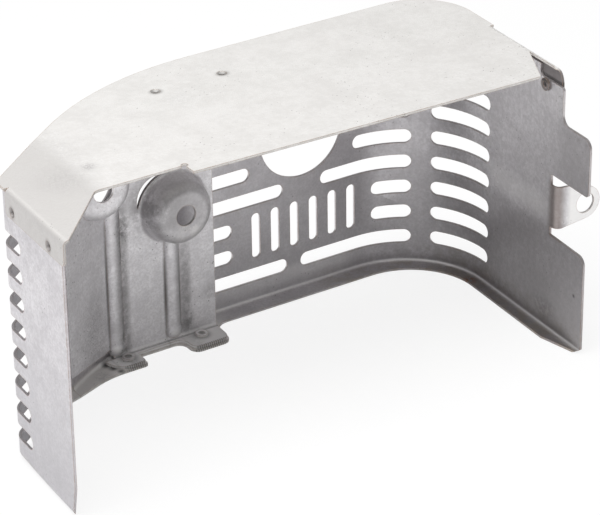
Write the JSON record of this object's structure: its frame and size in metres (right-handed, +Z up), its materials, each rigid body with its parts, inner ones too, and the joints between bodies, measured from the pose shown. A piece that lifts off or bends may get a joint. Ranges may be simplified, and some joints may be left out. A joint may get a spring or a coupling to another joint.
{
  "type": "muffler guard",
  "caption": "Wrap-around sheet metal muffler guard with slotted vents, a flanged top cover, an inner bossed bracket and a side mounting ear.",
  "frame": {"origin": "middle of the overall box, on the surface that the guard stands on", "axes": "+Z up, +X to the right along the slotted back wall as seen from the open side, +Y towards the back wall; the open side faces -Y"},
  "size_m": [0.2576, 0.1182, 0.1205],
  "materials": {
    "zinc_sheet": "zinc-coated sheet with fine mottling, satin",
    "zinc_cover": "zinc-coated sheet, pale and matt",
    "zinc_bracket": "zinc-coated pressing with fine mottling, satin"
  },
  "bodies": {
    "root": {"perforated_wrap": "zinc_sheet", "top_cover": "zinc_cover", "mounting_bracket": "zinc_bracket"}
  },
  "joints": []
}
